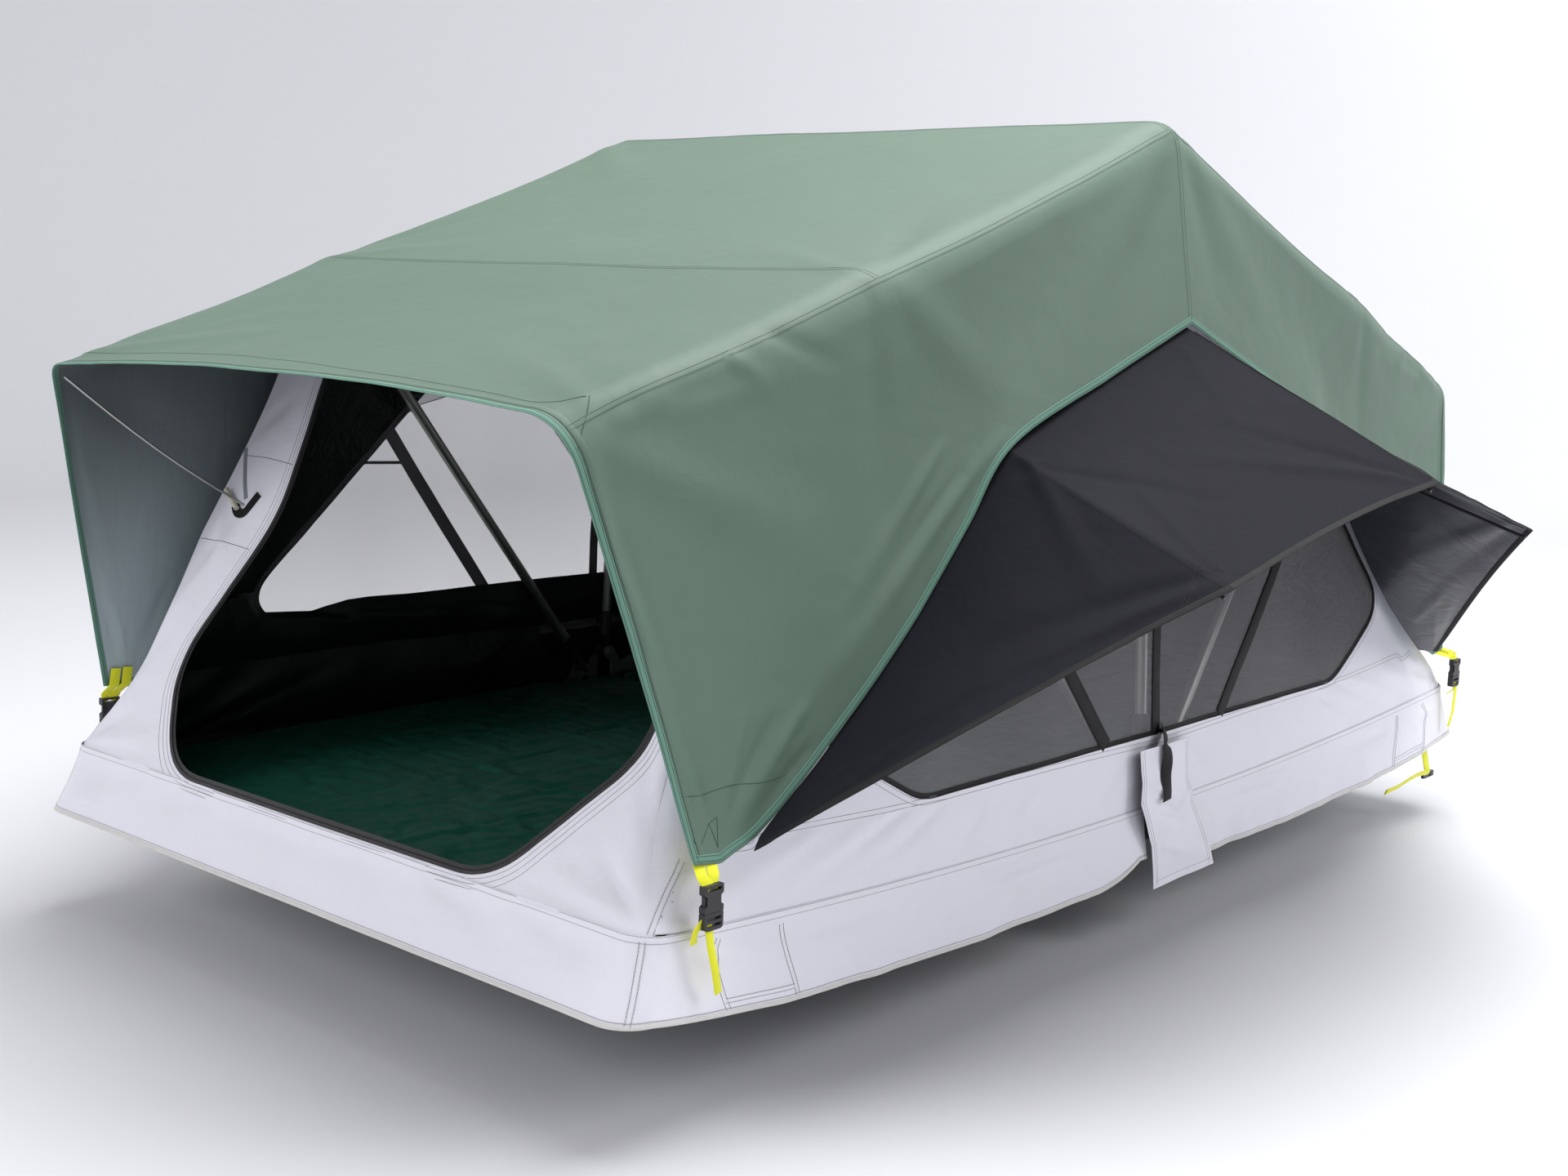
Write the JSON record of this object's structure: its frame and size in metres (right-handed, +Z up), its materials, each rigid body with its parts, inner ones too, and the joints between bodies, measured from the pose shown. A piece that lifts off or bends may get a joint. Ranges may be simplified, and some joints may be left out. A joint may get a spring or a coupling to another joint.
{
  "type": "roof top tent",
  "caption": "Fold-out car roof tent: two hinged base halves with mattress, folding hoops, inner tent, sage fly with end awnings, side awnings, buckled straps and mounting rails.",
  "frame": {"origin": "middle of the tent in the plane of the undersides of the mounting rails, where they sit on roof bars", "axes": "+X across the tent, +Y from the door end on the fixed half towards the folding half, +Z up"},
  "size_m": [2.2646, 2.5204, 1.2678],
  "materials": {
    "sage_cloth": "coated woven polyester, light sheen",
    "white_cloth": "matte cotton blend, off-white",
    "charcoal_cloth": "coated blackout cloth",
    "mesh": "fine net",
    "mattress_cloth": "smooth dark green cover",
    "aluminium": "satin anodised",
    "board": "grey laminate",
    "steel": "zinc plated",
    "black_plastic": "moulded, fine grain",
    "neon_webbing": "woven strap"
  },
  "bodies": {
    "front_base": {"front_frame": "aluminium", "front_base_panel": "board", "front_mattress": "mattress_cloth", "front_skirt": "white_cloth", "mounting_rail_left": "aluminium", "mounting_rail_right": "aluminium", "rail_cap_front_left": "black_plastic", "rail_cap_front_right": "black_plastic", "rail_cap_rear_left": "black_plastic", "rail_cap_rear_right": "black_plastic", "fixed_hinge_left": "steel", "fixed_hinge_right": "steel", "hinge_pin_left": "steel", "hinge_pin_right": "steel", "buckle_socket_front_left": "black_plastic", "buckle_socket_front_right": "black_plastic", "fly": "sage_cloth", "inner_canopy": "white_cloth", "front_wall": "white_cloth", "window_mesh_left": "mesh", "window_mesh_right": "mesh", "door_roll": "white_cloth", "side_awning_left": "charcoal_cloth", "side_awning_right": "charcoal_cloth", "side_rod_front_left": "black_plastic", "side_rod_front_right": "black_plastic", "side_rod_middle_left": "black_plastic", "side_rod_middle_right": "black_plastic", "front_awning_rod_left": "steel", "front_awning_rod_right": "steel"},
    "rear_base": {"rear_frame": "aluminium", "rear_base_panel": "board", "rear_mattress": "mattress_cloth", "rear_skirt": "white_cloth", "moving_hinge_left": "steel", "moving_hinge_right": "steel", "hinge_cover_left": "white_cloth", "hinge_cover_right": "white_cloth", "buckle_socket_rear_left": "black_plastic", "buckle_socket_rear_right": "black_plastic", "rear_wall": "white_cloth", "side_rod_rear_left": "black_plastic", "side_rod_rear_right": "black_plastic", "rear_awning_rod_left": "steel", "rear_awning_rod_right": "steel", "closing_strap": "neon_webbing", "strap_adjuster": "black_plastic"},
    "front_hoop": {"front_hoop_tube": "aluminium", "front_hoop_foot_left": "black_plastic", "front_hoop_foot_right": "black_plastic"},
    "centre_hoop": {"centre_hoop_tube": "aluminium", "centre_hoop_foot_left": "black_plastic", "centre_hoop_foot_right": "black_plastic"},
    "rear_hoop": {"rear_hoop_tube": "aluminium", "rear_hoop_foot_left": "black_plastic", "rear_hoop_foot_right": "black_plastic"},
    "plug_front_left": {"buckle_plug_front_left": "black_plastic"},
    "plug_front_right": {"buckle_plug_front_right": "black_plastic"},
    "plug_rear_left": {"buckle_plug_rear_left": "black_plastic"},
    "plug_rear_right": {"buckle_plug_rear_right": "black_plastic"}
  },
  "joints": [
    {"name": "base_fold", "type": "hinge", "parent": "front_base", "child": "rear_base", "pos_m": [0, 0, 0.186], "axis": [1, 0, 0], "range_deg": [0, 180], "deforming": ["fly", "inner_canopy", "front_wall", "rear_wall", "side_awning_left", "side_awning_right", "window_mesh_left", "window_mesh_right", "door_roll", "closing_strap", "side_rod_front_left", "side_rod_front_right", "side_rod_middle_left", "side_rod_middle_right", "side_rod_rear_left", "side_rod_rear_right", "front_awning_rod_left", "front_awning_rod_right", "rear_awning_rod_left", "rear_awning_rod_right"]},
    {"name": "front_hoop_fold", "type": "hinge", "parent": "front_base", "child": "front_hoop", "pos_m": [0, -0.06, 0.16], "axis": [1, 0, 0], "range_deg": [0, 49.88]},
    {"name": "centre_hoop_fold", "type": "hinge", "parent": "front_base", "child": "centre_hoop", "pos_m": [0, 0, 0.186], "axis": [1, 0, 0], "range_deg": [0, 90]},
    {"name": "rear_hoop_fold", "type": "hinge", "parent": "rear_base", "child": "rear_hoop", "pos_m": [0, 0.06, 0.16], "axis": [-1, 0, 0], "range_deg": [0, 49.88]},
    {"name": "plug_release_front_left", "type": "slide", "parent": "front_base", "child": "plug_front_left", "axis": [0, 0, -1], "range_m": [0, 0.018]},
    {"name": "plug_release_front_right", "type": "slide", "parent": "front_base", "child": "plug_front_right", "axis": [0, 0, -1], "range_m": [0, 0.018]},
    {"name": "plug_release_rear_left", "type": "slide", "parent": "rear_base", "child": "plug_rear_left", "axis": [0, 0, -1], "range_m": [0, 0.018]},
    {"name": "plug_release_rear_right", "type": "slide", "parent": "rear_base", "child": "plug_rear_right", "axis": [0, 0, -1], "range_m": [0, 0.018]}
  ],
  "couplings": [
    {"joint": "front_hoop_fold", "follows": "base_fold", "ratio": 0.2771},
    {"joint": "centre_hoop_fold", "follows": "base_fold", "ratio": 0.5},
    {"joint": "rear_hoop_fold", "follows": "base_fold", "ratio": 0.2771}
  ]
}
